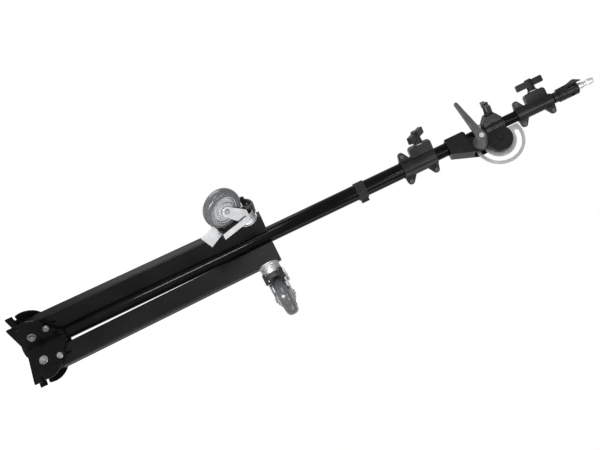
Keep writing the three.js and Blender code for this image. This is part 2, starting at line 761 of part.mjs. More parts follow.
// Guide band with its rims and screw block
const bandInside = columnDiameter + 2 * runningGap;
const bandOutside = bandInside + 2 * bandThickness;
const bandTop = bandFoot + bandHeight;
const bandBlock = box(bandInside / 2, bandBlockReach, -bandBlockWidth / 2, bandBlockWidth / 2,
  bandFoot + bandRimHeight, bandTop - bandRimHeight);
addPiece(group, 'column_band', cut(
  join(
    rodZ(bandOutside - bandThickness, bandFoot, bandTop),
    rodZ(bandOutside, bandFoot, bandFoot + bandRimHeight),
    rodZ(bandOutside, bandTop - bandRimHeight, bandTop),
    turnedZ(bandBlock, bandBlockAzimuth),
  ),
  rodZ(bandInside, bandFoot - cutOverrun, bandTop + cutOverrun),
), castBlack);

// Tube clamp: a barrel with lugs for its screws and a boss for its knob, drawn with the knob
// on +X and its foot at z = 0. The bore is wide below and narrow above.
const barrelRadius = (bore, wall) => bore / 2 + runningGap + wall;

function clampLug(radius, scale) {
  const nose = lugNoseRadius * scale;
  const noseX = radius + lugRise * scale - nose;
  const noseZ = lugNoseUp * scale;
  const half = lugThickness * scale / 2;
  const screwEnd = half + lugScrewStandOut;
  const shape = new THREE.Shape();
  shape.moveTo(0, 0);
  shape.lineTo(radius - clampWall, 0);
  shape.absarc(noseX, noseZ, nose, -Math.PI / 2, Math.PI / 3, false);
  shape.lineTo(radius - clampWall, lugLength * scale);
  shape.lineTo(0, lugLength * scale);
  return join(
    plateXZ(shape, -half, half, 5),
    rodY(lugScrewDiameter * scale, -screwEnd, screwEnd, noseX, noseZ, sidesScrew),
  );
}

function clampBody(wideDiameter, narrowDiameter, wall, length, wideLength, knobUp, scale) {
  const radius = barrelRadius(wideDiameter, wall);
  const lug = clampLug(radius, scale);
  const bossReach = radius + bossRise;
  const boss = plateXZ(
    roundedRectangle(2 * bossReach, bossLength * scale, bossCorner, 0, knobUp), -bossWidth / 2,
    bossWidth / 2, 4);
  const shell = join(
    turned([[0, 0], [radius, 0], [radius, length - barrelChamfer], [radius - barrelChamfer, length],
      [0, length]]),
    lug, turnedZ(lug, halfTurn),
    shifted(turnedZ(lug, halfTurn).mirror([0, 0, 1]), 0, 0, length),
    boss.intersect(box(0, farReach, -farReach, farReach, 0, length)),
  );
  return cut(
    shell,
    rodZ(wideDiameter + 2 * runningGap, -cutOverrun, wideLength),
    rodZ(narrowDiameter + 2 * runningGap, -cutOverrun, length + cutOverrun),
    box(0, farReach, -clampSlit / 2, clampSlit / 2, wideLength + runningGap, length + cutOverrun),
  );
}

// T-knob, drawn with its screw along +X from x = 0 at the boss face.
function clampKnob(scale, barTurn) {
  const stem = knobStemLength * scale;
  const barDepth = knobBarHeight * scale;
  const barHalf = knobBarThickness * scale / 2;
  const ringTop = runningGap + knobRingThickness * scale;
  const bar = plateXY(
    roundedRectangle(barDepth, knobBarLength * scale, knobBarCorner * scale, stem + barDepth / 2, 0),
    -barHalf, barHalf, 3);
  return join(
    rodX(knobRingDiameter * scale, runningGap, ringTop, 0, sidesTurned),
    rodX(knobStemDiameter * scale, ringTop, stem + barDepth + knobCapHeight * scale, 0, sidesTurned,
      knobStemEndDiameter * scale),
    turnedX(bar, barTurn),
  );
}

// Clamp and its knob at a foot height and azimuth.
function addClamp(name, foot, azimuth, body, reach, knobUp, knob) {
  const place = frame(group, (at) => {
    at.position.z = foot;
    at.rotation.z = radians(azimuth);
  });
  addPiece(place, name, body, castBlack);
  const knobPlace = frame(place, (at) => { at.position.set(reach, 0, knobUp); });
  addPiece(knobPlace, `${name}_knob`, knob, castBlack);
}

const clampShoulder = columnTop - clampFoot + runningGap;
addClamp('column_clamp', clampFoot, clampAzimuth,
  clampBody(columnDiameter, riserDiameter, clampWall, clampLength, clampShoulder, clampKnobUp,
    columnClampScale),
  barrelRadius(columnDiameter, clampWall) + bossRise, clampKnobUp,
  clampKnob(columnClampScale, columnKnobTurn));
addClamp('boom_clamp', boomClampFoot, boomClampAzimuth,
  clampBody(boomDiameter, extensionDiameter, boomClampWall, boomClampLength, boomClampShoulder,
    clampKnobUp, boomClampScale),
  barrelRadius(boomDiameter, boomClampWall) + bossRise, clampKnobUp,
  clampKnob(1, boomKnobTurn));

// Yoke on top of the riser: a block that opens into two cheeks
const studX = tiltX - leverStudDrop;
const studZ = tiltZ - Math.sqrt(sectorSlotRadius ** 2 - leverStudDrop ** 2);
const cheekInside = yokeHalfWidth - yokeCheek;
const yokeOutline = new THREE.Shape();
yokeOutline.moveTo(-yokeBack, yokeFoot);
yokeOutline.lineTo(yokeFootReach, yokeFoot);
yokeOutline.lineTo(yokeReach, yokeSlopeTop);
yokeOutline.absarc(tiltX, tiltZ, yokeNoseRadius, 0, Math.PI, false);
yokeOutline.lineTo(studX - leverStudDiameter, studZ);
yokeOutline.lineTo(cheekBack, yokeSlopeTop);
yokeOutline.lineTo(cheekBack, yokeFloor);
yokeOutline.lineTo(yokeBackCorner - yokeBack, yokeFloor);
yokeOutline.lineTo(-yokeBack, yokeFloor - yokeBackCorner);
addPiece(group, 'tilt_yoke', cut(
  plateXZ(yokeOutline, -yokeHalfWidth, yokeHalfWidth, 10),
  box(-farReach, farReach, -cheekInside, cheekInside, yokeFloor, tiltZ + farReach),
  rodZ(riserDiameter + 2 * runningGap, yokeFoot - cutOverrun, riserTop + runningGap),
  rodZ(boomDiameter + 2 * runningGap, yokeFoot, yokeFloor + cutOverrun),
  rodY(tiltBoltDiameter + 2 * runningGap, -farReach, farReach, tiltX, tiltZ, sidesTurned),
  rodY(leverStudDiameter + 2 * runningGap, -farReach, farReach, studX, studZ, sidesTurned),
), castBlack);

// Tilt bolt with a round head in front and a nut behind
const cheekFace = yokeHalfWidth + runningGap;
const tiltBoltEnd = cheekFace + tiltBoltHeadHeight;
const tiltAxis = frame(group, (at) => { at.position.set(tiltX, 0, tiltZ); });
addPiece(tiltAxis, 'tilt_bolt', join(
  rodY(tiltBoltDiameter, -tiltBoltEnd, tiltBoltEnd, 0, 0, sidesTurned),
  rodY(tiltBoltHeadDiameter, -tiltBoltEnd, -cheekFace, 0, 0, sidesTurned),
  rodY(tiltBoltHeadDiameter, cheekFace, tiltBoltEnd, 0, 0, 6),
), castBlack);

// Clamping stud through both cheeks and the sector's slot, with the lever's hub on it
const studAxis = frame(group, (at) => { at.position.set(studX, 0, studZ); });
const leverFoot = -cheekFace;
const leverEnd = leverFoot - leverHubHeight;
const studCapFoot = leverEnd - runningGap;
addPiece(studAxis, 'tilt_clamp_stud', join(
  rodY(leverStudDiameter, studCapFoot - leverStudCapHeight, cheekFace + leverNutHeight, 0, 0, sidesTurned),
  rodY(leverNutDiameter, cheekFace, cheekFace + leverNutHeight, 0, 0, 6),
  rodY(leverStudCapDiameter, studCapFoot - leverStudCapHeight, studCapFoot, 0, 0, sidesTurned),
), zinc);

function tiltLever() {
  const tip = leverTipDiameter / 2;
  const arm = new THREE.Shape();
  arm.moveTo(-leverRootWidth / 2, 0);
  arm.lineTo(leverRootWidth / 2, 0);
  arm.absarc(0, leverLength - tip, tip, 0, Math.PI, false);
  const towards = new THREE.Matrix4().makeRotationY(-radians(halfTurn / 2 + leverLean));
  return cut(
    join(
      rodY(leverHubEndDiameter, leverEnd, leverFoot, 0, 0, sidesRound, leverHubDiameter),
      moved(plateXZ(arm, leverEnd, leverEnd + leverThickness, 5), towards),
    ),
    rodY(leverStudDiameter + 2 * runningGap, -farReach, farReach, 0, 0, sidesTurned),
  );
}
addPiece(studAxis, 'tilt_lever', tiltLever(), plasticGrey);

// Slotted sector about the tilt bolt, in the middle plane
const sectorChord = tiltX - boomDiameter / 2 - sectorTopGap;

function tiltSector() {
  const chordAngle = Math.asin(sectorChord / sectorRadius);
  const quarter = Math.PI / 2;
  const outline = new THREE.Shape();
  outline.absarc(0, 0, sectorRadius, quarter + chordAngle, -quarter - chordAngle, true);
  const half = sectorSlotWidth / 2;
  const end = -quarter - Math.asin(leverStudDrop / sectorSlotRadius) - radians(slotSpare);
  const slot = new THREE.Shape();
  slot.absarc(0, 0, sectorSlotRadius + half, quarter, end, true);
  slot.absarc(sectorSlotRadius * Math.cos(end), sectorSlotRadius * Math.sin(end), half, end,
    end - Math.PI, true);
  slot.absarc(0, 0, sectorSlotRadius - half, end, quarter, false);
  slot.absarc(0, sectorSlotRadius, half, -quarter, -3 * quarter, true);
  return cut(
    plateXZ(outline, -sectorThickness / 2, sectorThickness / 2, 16),
    plateXZ(slot, -sectorThickness, sectorThickness, 12),
    rodY(tiltBoltDiameter + 2 * runningGap, -sectorThickness, sectorThickness, 0, 0, sidesTurned),
  );
}
addPiece(tiltAxis, 'tilt_sector', tiltSector(), zinc);

// Boom collar: a grooved ring round the boom, a forked disc on the tilt bolt and a knob boss
const collarMiddle = (collarFoot + collarTop) / 2;
const collarKnobAzimuth = clampAzimuth;

function boomCollar() {
  const radius = barrelRadius(boomDiameter, collarWall);
  const discHalf = cheekInside - 2 * runningGap;
  const halfLength = (collarTop - collarFoot) / 2;
  const slitHalf = sectorThickness / 2 + runningGap;
  const profile = [[0, collarFoot], [radius, collarFoot]];
  for (const up of collarGrooveUps) {
    const at = collarFoot + up;
    profile.push([radius, at - collarGrooveWidth / 2], [radius - collarGrooveDepth, at],
      [radius, at + collarGrooveWidth / 2]);
  }
  profile.push([radius, collarTop], [0, collarTop]);
  const boss = shifted(plateXZ(outlineOf([[0, -halfLength], [radius, -halfLength],
    [collarBossReach, -collarBossTopLength / 2], [collarBossReach, collarBossTopLength / 2],
    [radius, halfLength], [0, halfLength]]), -collarBossWidth / 2, collarBossWidth / 2), 0, 0,
  collarMiddle);
  return cut(
    join(
      turned(profile),
      rodY(2 * discRadius, -discHalf, discHalf, tiltX, tiltZ, 28),
      turnedZ(boss, collarKnobAzimuth),
    ),
    rodZ(boomDiameter + 2 * runningGap, collarFoot - farReach, collarTop + farReach),
    rodY(tiltBoltDiameter + 2 * runningGap, -farReach, farReach, tiltX, tiltZ, sidesTurned),
    box(tiltX - sectorChord - runningGap, farReach, -slitHalf, slitHalf, yokeFoot, collarTop + farReach),
  );
}
addPiece(group, 'boom_collar', boomCollar(), castBlack);

const collarKnobPlace = frame(group, (at) => {
  at.position.z = collarMiddle;
  at.rotation.z = radians(collarKnobAzimuth);
});
const collarKnobSeat = frame(collarKnobPlace, (at) => { at.position.x = collarBossReach; });
addPiece(collarKnobSeat, 'collar_knob', clampKnob(collarKnobScale, collarKnobTurn), castBlack);

// Boom tube, and the extension that slides in it
const boomInside = boomDiameter - 2 * boomWall;
const boomTop = boomClampFoot + boomClampShoulder - runningGap;
const extensionInside = extensionDiameter - 2 * extensionWall;
addPiece(group, 'boom_tube', tubeZ(boomDiameter, boomInside, boomBottom, boomTop), glossBlack);
addPiece(group, 'extension_tube', tubeZ(extensionDiameter, extensionInside, extensionBottom, socketFoot),
  glossBlack);

// Socket on the extension: its neck grips the tube, and a blind hole from the top holds the stud
const socketRadius = socketDiameter / 2;
const studBottom = socketTop - studInsert;
const latchStepUp = socketTop - latchStepDrop;
const latchPeakUp = socketTop - latchPeakDrop;
const latchTop = socketTop + latchStandOut;
const latchBack = socketRadius - latchSunk + runningGap;
const latchPinX = latchBack + latchFootRadius;
const latchPinZ = latchFoot + latchFootRadius;

function studSocket() {
  const neck = socketNeckDiameter / 2;
  const profile = [[0, socketNeckFoot], [neck, socketNeckFoot], [neck, socketFoot],
    [socketRadius, socketFoot]];
  for (const up of socketGrooveUps) {
    const at = socketFoot + up;
    profile.push([socketRadius, at - socketGrooveDepth], [socketRadius - socketGrooveDepth, at],
      [socketRadius, at + socketGrooveDepth]);
  }
  profile.push([socketRadius, socketTop - socketChamfer], [socketRadius - socketChamfer, socketTop],
    [0, socketTop]);
  const earHalf = latchWidth / 2 + runningGap + latchEarSheet;
  const ears = box(0, latchEarReach, -earHalf, earHalf, latchFoot - runningGap,
    latchFoot + latchEarHeight);
  const latchSeat = box(socketRadius - latchSunk, farReach, -latchWidth / 2 - runningGap,
    latchWidth / 2 + runningGap, latchFoot - runningGap, socketTop + cutOverrun);
  const windowHole = box(studDiameter / 2, farReach, -windowWidth / 2, windowWidth / 2, windowLow, windowHigh);
  const sideHole = rodX(sideHoleDiameter, studDiameter / 2, farReach, sideHoleUp, sidesSmall);
  const pinHole = rodY(latchPinDiameter + 2 * runningGap, -farReach, farReach, latchPinX, latchPinZ,
    sidesScrew);
  return cut(
    join(turned(profile), turnedZ(ears, latchAzimuth)),
    rodZ(extensionDiameter + 2 * runningGap, socketNeckFoot - cutOverrun, socketFoot + socketSeatDepth),
    rodZ(studDiameter + 2 * runningGap, studBottom - runningGap, socketTop + cutOverrun),
    turnedZ(latchSeat, latchAzimuth),
    turnedZ(pinHole, latchAzimuth),
    turnedZ(windowHole, windowAzimuth),
    turnedZ(sideHole, sideHoleAzimuth),
  );
}
addPiece(group, 'stud_socket', studSocket(), castBlack);

// Stud with a necked, stepped tip
addPiece(group, 'tip_stud', turned([
  [0, studBottom],
  [studDiameter / 2, studBottom],
  [studDiameter / 2, studNeckFoot - studNeckSlope],
  [studNeckDiameter / 2, studNeckFoot],
  [studNeckDiameter / 2, studNeckTop],
  [studDiameter / 2, studNeckTop + studNeckSlope],
  [studDiameter / 2, studTop - studTipLength],
  [studTipDiameter / 2, studTop - studTipLength],
  [studTipDiameter / 2, studTop - studTipChamfer],
  [studTipDiameter / 2 - studTipChamfer, studTop],
  [0, studTop],
], 20), zinc);

// Latch that lies in a seat along the socket, with a cross pin through the socket's ears
const latchPinEnd = latchWidth / 2 + runningGap + latchEarSheet;
const latchPlace = frame(group, (at) => { at.rotation.z = radians(latchAzimuth); });
const latchOutline = new THREE.Shape();
latchOutline.absarc(latchPinX, latchPinZ, latchFootRadius, Math.PI, 2 * Math.PI, false);
latchOutline.lineTo(latchStepReach, latchStepUp);
latchOutline.lineTo(latchReach, latchPeakUp);
latchOutline.lineTo(latchTipReach, latchTop);
latchOutline.lineTo(latchTipReach - latchTipThickness, latchTop);
latchOutline.lineTo(latchBack, socketTop);
addPiece(latchPlace, 'stud_latch', join(
  plateXZ(latchOutline, -latchWidth / 2, latchWidth / 2, 6),
  rodY(latchPinDiameter, -latchPinEnd, latchPinEnd, latchPinX, latchPinZ, sidesScrew),
), plasticBlack);

export default group;
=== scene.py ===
# %% [markdown]
# # A folded wheeled boom stand
# Three box legs with casters lie along a telescopic column. On top sit a tilting head with a
# slotted sector, a short boom and a stud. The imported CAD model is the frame. Here each of its
# pieces gets its fine shape and its finish, and nothing is moved.

# %% Load the frame
import json
import math

import bmesh
import bpy
import numpy as np
from mathutils import Matrix, Vector


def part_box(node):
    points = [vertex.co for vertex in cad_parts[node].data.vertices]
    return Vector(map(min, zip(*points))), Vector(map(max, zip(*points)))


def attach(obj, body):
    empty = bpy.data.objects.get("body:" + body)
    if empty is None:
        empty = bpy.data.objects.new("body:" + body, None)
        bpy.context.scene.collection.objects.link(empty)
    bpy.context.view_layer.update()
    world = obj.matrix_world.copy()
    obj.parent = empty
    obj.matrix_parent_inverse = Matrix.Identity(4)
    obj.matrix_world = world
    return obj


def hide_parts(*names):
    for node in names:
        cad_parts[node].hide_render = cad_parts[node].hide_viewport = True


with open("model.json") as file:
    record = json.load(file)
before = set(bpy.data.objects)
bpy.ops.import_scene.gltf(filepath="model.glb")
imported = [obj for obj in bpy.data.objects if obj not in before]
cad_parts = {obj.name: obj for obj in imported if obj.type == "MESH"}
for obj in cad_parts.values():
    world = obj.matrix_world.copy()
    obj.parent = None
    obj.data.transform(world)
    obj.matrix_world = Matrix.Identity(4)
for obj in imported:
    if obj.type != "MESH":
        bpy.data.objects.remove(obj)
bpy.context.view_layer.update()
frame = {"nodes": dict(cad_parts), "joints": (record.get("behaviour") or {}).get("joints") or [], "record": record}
MM = 0.001
joints = {joint["name"]: joint for joint in frame["joints"]}
body_of = {node: body for body, nodes in frame["record"]["behaviour"]["bodies"].items()
           for node in nodes}
slot_of = {row["node"]: row["material_slot"] for row in frame["record"]["subparts"]}

# %% [markdown]
# ## Shader maths as expressions
# Finishes are worked out from noise in Object coordinates, so they stay on the piece when a
# joint moves. A small class wraps a socket, and plus and times add Math nodes.


# %% Sockets as numbers
class Value:
    """A socket of a node tree that can be used in sums."""

    def __init__(self, tree, socket):
        self.tree = tree
        self.socket = socket

    def math(self, operation, first, second):
        return self.tree.node("ShaderNodeMath", {"operation": operation}, {0: first, 1: second})

    def __add__(self, other):
        return self.math("ADD", self, other)

    __radd__ = __add__

    def __mul__(self, other):
        return self.math("MULTIPLY", self, other)

    __rmul__ = __mul__

    def band(self, low, high):
        """0 below low, 1 above high, and smooth between."""
        return self.tree.node("ShaderNodeMapRange", {"interpolation_type": "SMOOTHSTEP"},
                              {"Value": self, "From Min": low, "From Max": high})


class Finish:
    """A material with its Principled shader, and one method that adds any other node."""

    def __init__(self, name, **constants):
        self.material = bpy.data.materials.new(name)
        self.material.use_nodes = True
        self.nodes = self.material.node_tree.nodes
        self.links = self.material.node_tree.links
        self.shader = self.nodes["Principled BSDF"]
        for socket, value in constants.items():
            self.shader.inputs[socket.replace("_", " ")].default_value = value
        self.place = self.node("ShaderNodeTexCoord", {}, {}, "Object")

    def node(self, kind, settings, inputs, output=0):
        made = self.nodes.new(kind)
        for key, value in settings.items():
            setattr(made, key, value)
        for key, value in inputs.items():
            if isinstance(value, Value):
                self.links.new(value.socket, made.inputs[key])
            else:
                made.inputs[key].default_value = value
        return Value(self, made.outputs[output])

    def scaled(self, x, y, z):
        """Object coordinates stretched along the three axes."""
        return self.node("ShaderNodeMapping", {}, {"Vector": self.place, "Scale": (x, y, z)})

    def noise(self, scale, detail=3.0, vector=None, roughness=0.5):
        return self.node("ShaderNodeTexNoise", {}, {
            "Vector": vector or self.place, "Scale": scale, "Detail": detail,
            "Roughness": roughness})

    def mix(self, share, low, high):
        """Colour between two colours."""
        made = self.nodes.new("ShaderNodeMix")
        made.data_type = "RGBA"
        self.links.new(share.socket, made.inputs["Factor"])
        for key, colour in (("A", low), ("B", high)):
            socket = [s for s in made.inputs if s.name == key and s.type == "RGBA"][0]
            socket.default_value = (*colour, 1.0)
        return Value(self, [s for s in made.outputs if s.type == "RGBA"][0])

    def feed(self, socket, value):
        self.links.new(value.socket, self.shader.inputs[socket])

    def bump(self, height, strength, distance):
        self.feed("Normal", self.node("ShaderNodeBump", {}, {
            "Height": height, "Strength": strength, "Distance": distance}))


# %% [markdown]
# ## Finishes
# The tubes and legs carry gloss black powder coat with a little orange peel. The castings are
# satin black with a fine grain. The stud is bright zinc, which is cloudy. The casters' metal and
# the sector are duller, bolts, plungers, axles and washers duller still, and cap screws dark.

# %% Paint, castings and plastics
def powder_coat(name, dark, light, rough, specular):
    finish = Finish(name, Specular_IOR_Level=specular)
    cloud = finish.noise(9.0, 2.0)
    streak = finish.noise(1.0, 4.0, finish.scaled(260.0, 260.0, 5.0))
    peel = finish.noise(420.0, 2.0)
    finish.feed("Base Color", finish.mix(cloud.band(0.35, 0.7), dark, light))
    finish.feed("Roughness", rough - 0.05 + 0.06 * cloud + 0.05 * streak)
    finish.bump(peel, 0.03, 0.0002)
    return finish.material


def cast_paint(name, dark, light, rough, grain, specular):
    finish = Finish(name, Specular_IOR_Level=specular)
    cloud = finish.noise(26.0, 3.0)
    fine = finish.noise(grain, 3.0, roughness=0.65)
    finish.feed("Base Color", finish.mix(cloud.band(0.3, 0.72), dark, light))
    finish.feed("Roughness", rough - 0.07 + 0.14 * fine)
    finish.bump(fine, 0.2, 0.0002)
    return finish.material


def moulded(name, dark, light, rough, specular):
    finish = Finish(name, Specular_IOR_Level=specular)
    cloud = finish.noise(40.0, 3.0)
    speck = finish.noise(1500.0, 1.0)
    finish.feed("Base Color", finish.mix(cloud.band(0.3, 0.7), dark, light))
    finish.feed("Roughness", rough - 0.04 + 0.08 * speck)
    finish.bump(speck, 0.03, 0.0001)
    return finish.material


def zinc_plate(name, dark, light, rough):
    finish = Finish(name, Metallic=1.0)
    cloud = finish.noise(38.0, 4.0, roughness=0.6)
    grain = finish.noise(1.0, 3.0, finish.scaled(900.0, 900.0, 160.0))
    finish.feed("Base Color", finish.mix(cloud.band(0.3, 0.75), dark, light))
    finish.feed("Roughness", rough - 0.04 + 0.08 * cloud + 0.04 * grain)
    finish.bump(cloud, 0.05, 0.0003)
    return finish.material


finishes = {
    "gloss_black": powder_coat("gloss_black_paint", (0.0012, 0.0012, 0.0014),
                               (0.0024, 0.0024, 0.0027), 0.14, 0.05),
    "cast_black": cast_paint("satin_black_casting", (0.003, 0.003, 0.0032), (0.006, 0.006, 0.0064),
                             0.32, 900.0, 0.14),
    "zinc": zinc_plate("bright_zinc_plate", (0.38, 0.385, 0.395), (0.50, 0.505, 0.51), 0.38),
    "grey_plastic": moulded("dark_grey_moulding", (0.029, 0.029, 0.0305),
                            (0.041, 0.041, 0.043), 0.42, 0.3),
    "black_plastic": moulded("black_moulding", (0.005, 0.005, 0.005), (0.01, 0.01, 0.01),
                             0.5, 0.25),
    "tyre_grey": moulded("grey_tread", (0.036, 0.037, 0.039), (0.046, 0.047, 0.05), 0.2, 0.28),
    "hub_grey": moulded("light_grey_moulding", (0.15, 0.152, 0.155), (0.19, 0.192, 0.195),
                        0.55, 0.2),
}
leg_paint = powder_coat("satin_black_paint", (0.0018, 0.0018, 0.002), (0.0032, 0.0032, 0.0036),
                        0.32, 0.065)
caster_zinc = zinc_plate("caster_zinc", (0.25, 0.253, 0.257), (0.33, 0.333, 0.337), 0.42)
dark_steel = zinc_plate("dark_steel", (0.05, 0.05, 0.051), (0.08, 0.08, 0.082), 0.42)
dull_zinc = zinc_plate("dull_zinc", (0.12, 0.121, 0.123), (0.18, 0.181, 0.183), 0.4)
print("finishes:", ", ".join(finishes))

# %% [markdown]
# ## From CAD node to finished piece
# A CAD node is loose triangles with hard edges. Pressed, cast and welded pieces keep the node's
# shape: a copy is merged, flat fans become single faces, and a bevel rounds its edges, because
# light catches on such edges on the real stand.


# %% Dress a copy of a node
sharp_edge = 50.0           # degrees between two faces, above which their edge is rounded
flat_fan = 0.6              # degrees between two faces, below which they become one


def finish_piece(piece, *nodes, finish=None):
    """Gives a piece its node's body, slot and finish, and hides the nodes that it stands for."""
    slot = slot_of[nodes[0]]
    piece.data.materials.clear()
    piece.data.materials.append(finish or finishes[slot])
    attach(piece, body_of[nodes[0]])
    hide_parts(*nodes)


def extra_piece(piece, carrier, finish):
    """Small piece that stands on a node and moves with its body, with a finish of its own."""
    piece.data.materials.clear()
    piece.data.materials.append(finish)
    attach(piece, body_of[carrier])


def new_object(name, mesh):
    piece = bpy.data.objects.new(name, mesh)
    bpy.context.scene.collection.objects.link(piece)
    return piece


def dressed(node, width, segments=2, finish=None):
    """Copy of a node with its sharp edges rounded."""
    shape = bmesh.new()
    shape.from_mesh(frame["nodes"][node].data)
    bmesh.ops.remove_doubles(shape, verts=shape.verts, dist=2e-6)
    bmesh.ops.dissolve_limit(shape, angle_limit=math.radians(flat_fan), verts=shape.verts,
                             edges=shape.edges)
    mesh = bpy.data.meshes.new(node + "_dressed")
    shape.to_mesh(mesh)
    shape.free()
    mesh.polygons.foreach_set("use_smooth", np.ones(len(mesh.polygons), bool))
    piece = new_object(node + "_piece", mesh)
    bevel = piece.modifiers.new("rounded edges", "BEVEL")
    bevel.width = width * MM
    bevel.segments = segments
    bevel.use_clamp_overlap = False
    bevel.limit_method = "ANGLE"
    bevel.angle_limit = math.radians(sharp_edge)
    piece.modifiers.new("even shading", "WEIGHTED_NORMAL")
    finish_piece(piece, node, finish=finish)


# %% [markdown]
# ## Turned pieces
# Tubes, tyres, wheel hubs, races and the stud are turned. Such a surface is a profile of radius
# and height carried round an axis, so its points are a product of two arrays.


# %% Profiles and surfaces of revolution
most_of_side = 0.45         # that the rounding of one corner may take
crease = 40.0               # degrees between two faces, above which their edge shades sharp


def softened(profile, radius, steps):
    """Rounds each corner of a closed profile: a quadratic curve from one side to the other."""
    corner = np.asarray(profile, float)
    before = np.roll(corner, 1, axis=0) - corner
    after = np.roll(corner, -1, axis=0) - corner
    reach_before = np.minimum(radius, most_of_side * np.linalg.norm(before, axis=1))[:, None]
    reach_after = np.minimum(radius, most_of_side * np.linalg.norm(after, axis=1))[:, None]
    start = corner + before / np.linalg.norm(before, axis=1)[:, None] * reach_before
    end = corner + after / np.linalg.norm(after, axis=1)[:, None] * reach_after
    t = np.linspace(0.0, 1.0, steps)[None, :, None]
    curve = ((1 - t) ** 2 * start[:, None] + 2 * t * (1 - t) * corner[:, None]
             + t ** 2 * end[:, None])
    return curve.reshape(-1, 2)


def revolved(name, profile, place, segments=72, ribs=0, rib_depth=0.0):
    """Closed profile of (radius, height) in mm, carried round Z, then put at place.

    With ribs, the outermost points' radius rises and falls as a cosine that many times a turn.
    """
    profile = np.asarray(profile, float) * MM
    turn = np.linspace(0.0, 2 * math.pi, segments, endpoint=False)
    height = profile[:, 1][:, None]
    outermost = profile[:, 0][:, None] > profile[:, 0].max() - MM / 10
    radius = profile[:, 0][:, None] + outermost * rib_depth * MM * np.cos(ribs * turn)
    points = np.stack([radius * np.cos(turn), radius * np.sin(turn),
                       np.broadcast_to(height, (len(profile), segments))], axis=-1).reshape(-1, 3)
    points = points @ np.array(place.to_3x3()).T + np.array(place.translation)
    rows, cols = np.meshgrid(np.arange(len(profile)), np.arange(segments), indexing="ij")
    below, right = (rows + 1) % len(profile), (cols + 1) % segments
    faces = np.stack([rows * segments + cols, rows * segments + right,
                      below * segments + right, below * segments + cols], axis=-1).reshape(-1, 4)
    mesh = bpy.data.meshes.new(name)
    mesh.from_pydata(points, [], faces.tolist())
    shape = bmesh.new()
    shape.from_mesh(mesh)
    bmesh.ops.remove_doubles(shape, verts=shape.verts, dist=1e-7)
    bmesh.ops.delete(shape, geom=[edge for edge in shape.edges if not edge.link_faces],
                     context="EDGES")
    bmesh.ops.recalc_face_normals(shape, faces=shape.faces)
    shape.to_mesh(mesh)
    shape.free()
    mesh.polygons.foreach_set("use_smooth", np.ones(len(mesh.polygons), bool))
    mesh.set_sharp_from_angle(angle=math.radians(crease))
    return new_object(name, mesh)


def axes(origin, along, towards):
    """Matrix of a local frame: Z along one direction, X as near as may be to another."""
    z = Vector(along).normalized()
    x = (Vector(towards) - Vector(towards).dot(z) * z).normalized()
    y = z.cross(x)
    matrix = Matrix((x, y, z)).transposed().to_4x4()
    matrix.translation = Vector(origin)
    return matrix


upright = Matrix.Identity(4)
up = Vector((0.0, 0.0, 1.0))

# %% The four tubes
tubes = {                   # outer and inner radius, foot and top, in mm
    "column_tube": (20.0, 18.2, 2.5, 1100.0),
    "riser_tube": (17.0, 15.4, 130.0, 1210.0),
    "boom_tube": (14.0, 12.5, 1223.0, 1428.7),
    "extension_tube": (12.0, 10.5, 1250.0, 1476.0),
}
for node, (outer, inner, foot, top) in tubes.items():
    wall = softened([[inner, foot], [outer, foot], [outer, top], [inner, top]], 0.4, 3)
    finish_piece(revolved(node + "_piece", wall, upright, 96), node)
print("tubes:", len(tubes))

# %% [markdown]
# ## Hub and legs
# The hub plates are pressed sheet, so their edges are barely broken. The legs are drawn box
# tubes, whose long corners the CAD already rounds. Their coat is a little rougher than the
# column's.

# %% Hub and legs
for number in (1, 2, 3):
    dressed(f"hub_plate_{number}", 0.6)
    dressed(f"leg_tube_{number}", 0.35, finish=leg_paint)
    dressed(f"leg_end_plug_{number}", 0.6)
    dressed(f"leg_pivot_bolt_{number}", 0.5, finish=dull_zinc)
    dressed(f"leg_lock_plunger_{number}", 0.5, finish=dull_zinc)

# %% [markdown]
# ## Casters
# Each wheel is a soft tread with a round crown, cast on a hard hub. The fork is folded sheet on a
# plain turned race, with a pedal over it and a plastic shoe between them.

# %% Wheels
wheel_radius = 50.0
tread_seat = 34.5
tread_half = 16.0
tread_fill = 0.98           # of the tread's half width
crown_power = 0.72          # 1 gives an ellipse, less a squarer crown
side_power = 0.9
crown = np.linspace(-math.pi / 2, math.pi / 2, 41)
lift = np.abs(np.cos(crown)) ** crown_power
spread = np.sign(np.sin(crown)) * np.abs(np.sin(crown)) ** side_power
tread_profile = np.stack([tread_seat + (wheel_radius - tread_seat) * lift,
                          tread_half * spread * tread_fill], axis=-1)

hub_half = [[4.3, 19.9], [20.0, 19.9], [20.0, 11.0], [29.2, 11.0], [29.4, 7.5], [31.3, 7.5],
            [31.5, 14.3], [33.4, 14.3], [34.2, 13.4]]
hub_profile = softened(hub_half + [[r, -z] for r, z in reversed(hub_half)], 0.5, 4)

for number in (1, 2, 3):
    roll = joints[f"wheel_{number}_roll"]
    away = joints[f"caster_{number}_swivel"]["axis"]
    wheel = axes(roll["pos_m"], roll["axis"], away)
    finish_piece(revolved(f"tread_{number}", tread_profile, wheel, 128), f"caster_tyre_{number}")
    finish_piece(revolved(f"wheel_hub_{number}", hub_profile, wheel, 96), f"caster_hub_{number}")

